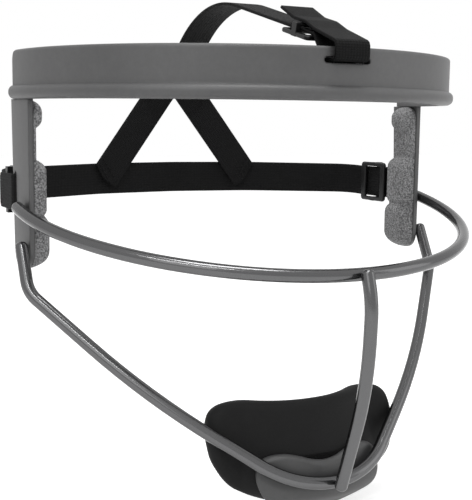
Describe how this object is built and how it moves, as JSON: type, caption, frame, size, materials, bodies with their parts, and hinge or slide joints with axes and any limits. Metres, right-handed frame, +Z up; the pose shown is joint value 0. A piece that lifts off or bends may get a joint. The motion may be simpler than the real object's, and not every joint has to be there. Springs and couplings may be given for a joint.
{
  "type": "softball face guard",
  "caption": "Open face guard for fielding: brow band on temple plates, welded wire cage with a padded chin plate, foam pads and webbing head straps with sliders.",
  "frame": {"origin": "The middle of the forehead pad's inner face, half way up the pad: the point where the middle of the wearer's forehead rests.", "axes": "+X to the wearer's left, +Y from the forehead towards the back of the head, so the wearer faces -Y, and +Z up."},
  "size_m": [0.1802, 0.1593, 0.1824],
  "materials": {
    "grey_shell": "satin moulded plastic, mid grey",
    "coated_wire": "glossy grey coating on steel wire",
    "grey_foam": "foam under heathered grey knit",
    "black_foam": "foam under black knit",
    "webbing": "woven black webbing",
    "black_plastic": "moulded black plastic",
    "hook_tape": "black hook-and-loop tape"
  },
  "bodies": {
    "guard": {"brow_band": "grey_shell", "temple_plate_left": "grey_shell", "temple_plate_right": "grey_shell", "chin_plate": "grey_shell", "upper_wire": "coated_wire", "lower_wire": "coated_wire", "centre_bar": "coated_wire", "temple_pad_left": "grey_foam", "temple_pad_right": "grey_foam", "forehead_pad": "grey_foam", "chin_pad": "black_foam", "brow_hook_patches": "hook_tape", "temple_hook_patch_left": "hook_tape", "temple_hook_patch_right": "hook_tape", "chin_hook_patch": "hook_tape", "back_strap": "webbing", "v_strap_left": "webbing", "v_strap_right": "webbing", "crown_strap": "webbing"},
    "left_slider": {"side_slider_left": "black_plastic"},
    "right_slider": {"side_slider_right": "black_plastic"},
    "top_slider": {"crown_slider": "black_plastic"}
  },
  "joints": [
    {"name": "left_slider_on_strap", "type": "slide", "parent": "guard", "child": "left_slider", "axis": [0, 1, 0], "range_m": [0, 0.003]},
    {"name": "right_slider_on_strap", "type": "slide", "parent": "guard", "child": "right_slider", "axis": [0, 1, 0], "range_m": [0, 0.003]},
    {"name": "top_slider_on_strap", "type": "slide", "parent": "guard", "child": "top_slider", "axis": [0, 0.9695, 0.2452], "range_m": [0, 0.003]}
  ]
}
